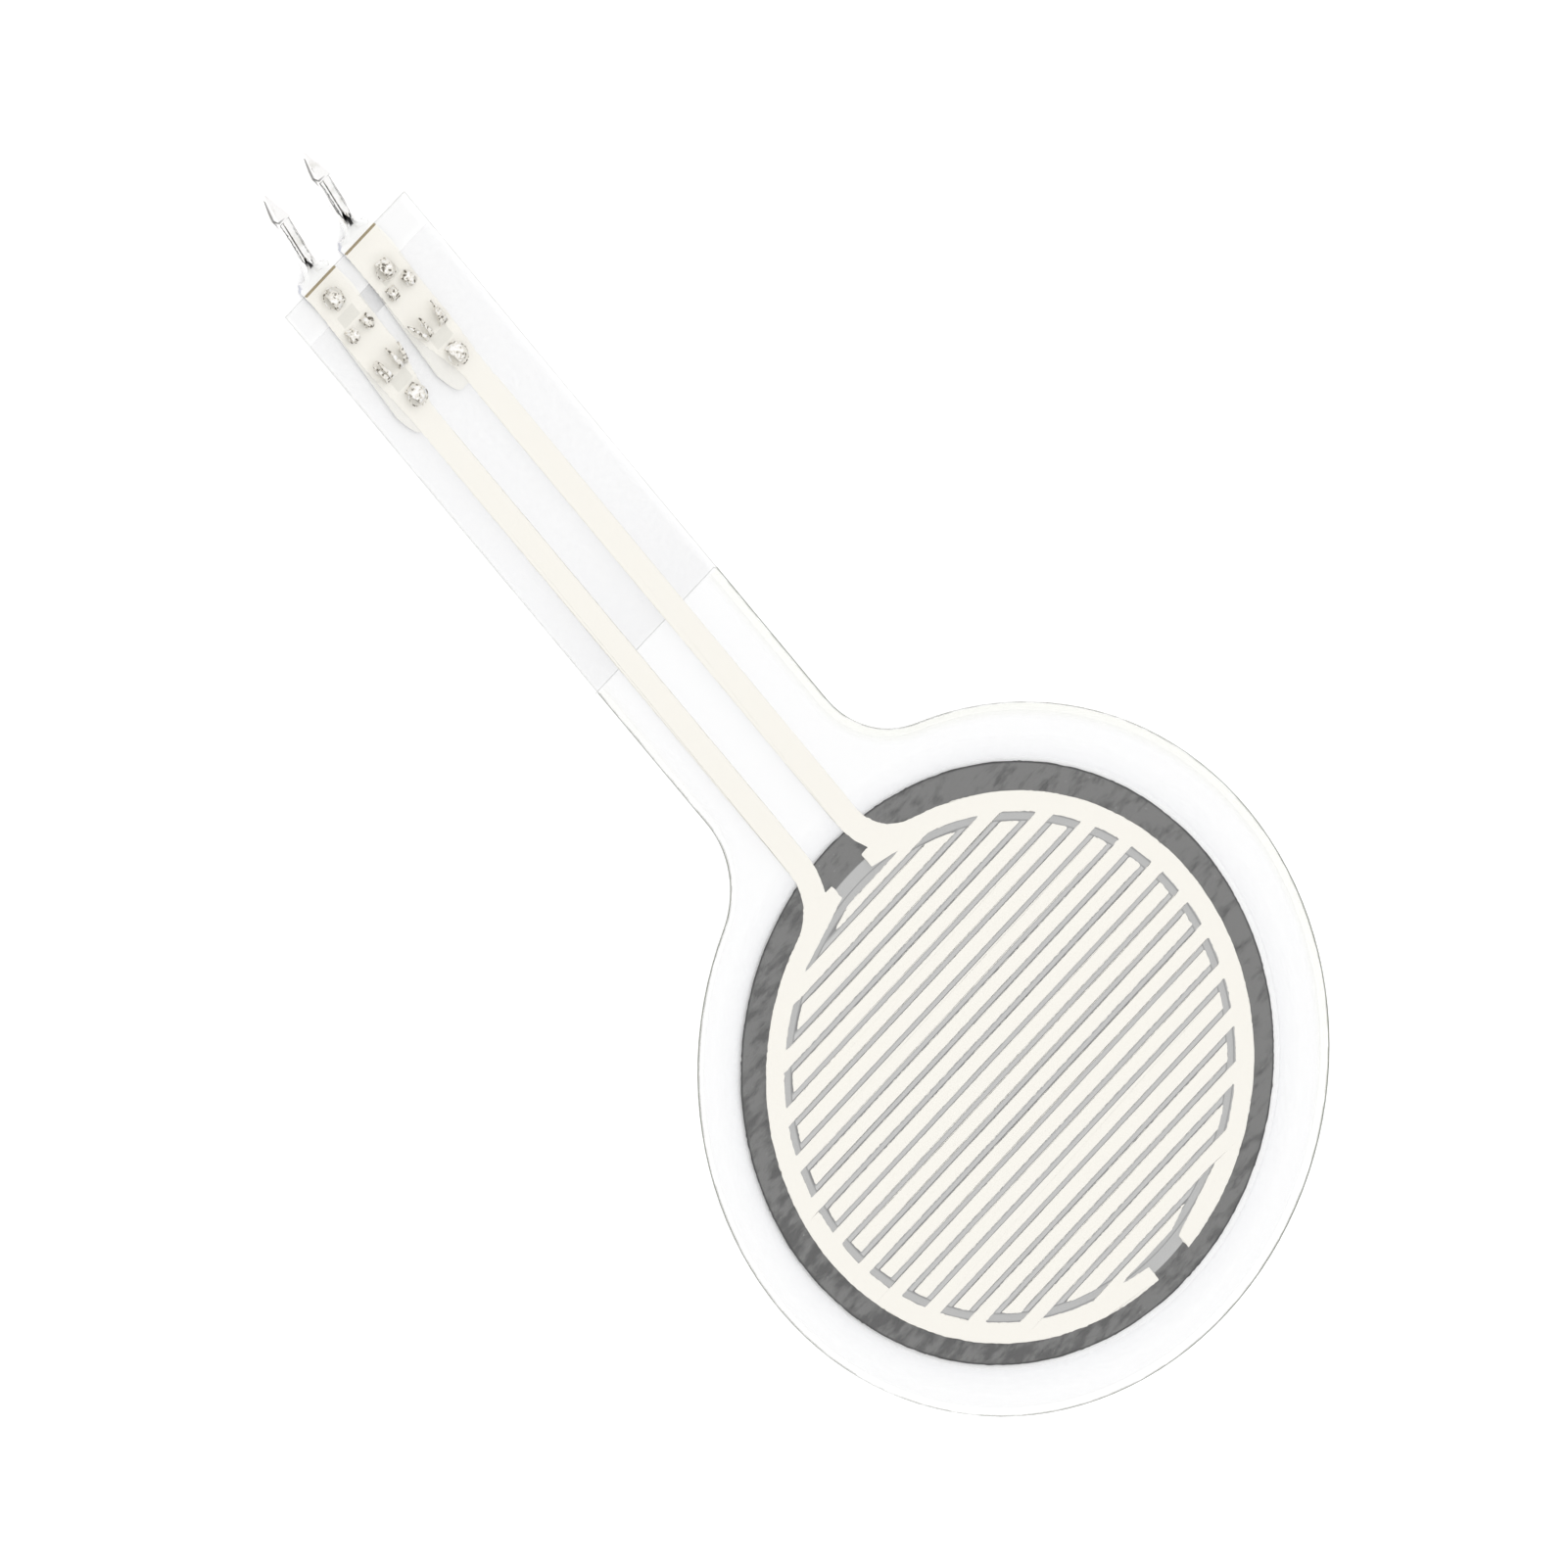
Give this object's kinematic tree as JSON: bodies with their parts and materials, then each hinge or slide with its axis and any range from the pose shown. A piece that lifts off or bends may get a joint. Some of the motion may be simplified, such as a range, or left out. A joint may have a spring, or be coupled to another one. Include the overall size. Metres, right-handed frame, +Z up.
{
  "type": "force sensing resistor",
  "caption": "Thin film force sensor: a round clear pad with interdigitated silver combs over a carbon disc, a flat tail with printed traces, and crimped solder pins.",
  "frame": {"origin": "centre of the round pad, on the underside of the lower film", "axes": "+Y from the pad along the tail to the pins, +Z up through the layers, +X across the tail"},
  "size_m": [0.03, 0.0672, 0.0019],
  "materials": {
    "clear_film": "clear polyester film, glossy",
    "clear_adhesive": "clear soft adhesive layer",
    "cover_tape": "translucent tape, satin",
    "carbon_ink": "screen-printed carbon ink, matt",
    "silver_ink": "screen-printed silver ink, satin, cream toned",
    "tinned_sheet": "bright tin plate on folded sheet"
  },
  "bodies": {
    "root": {"lower_film": "clear_film", "upper_film": "clear_film", "spacer_adhesive": "clear_adhesive", "tail_cover_tape": "cover_tape", "carbon_disc": "carbon_ink", "silver_comb_left": "silver_ink", "silver_comb_right": "silver_ink", "crimp_contact_left": "tinned_sheet", "crimp_contact_right": "tinned_sheet"}
  },
  "joints": []
}
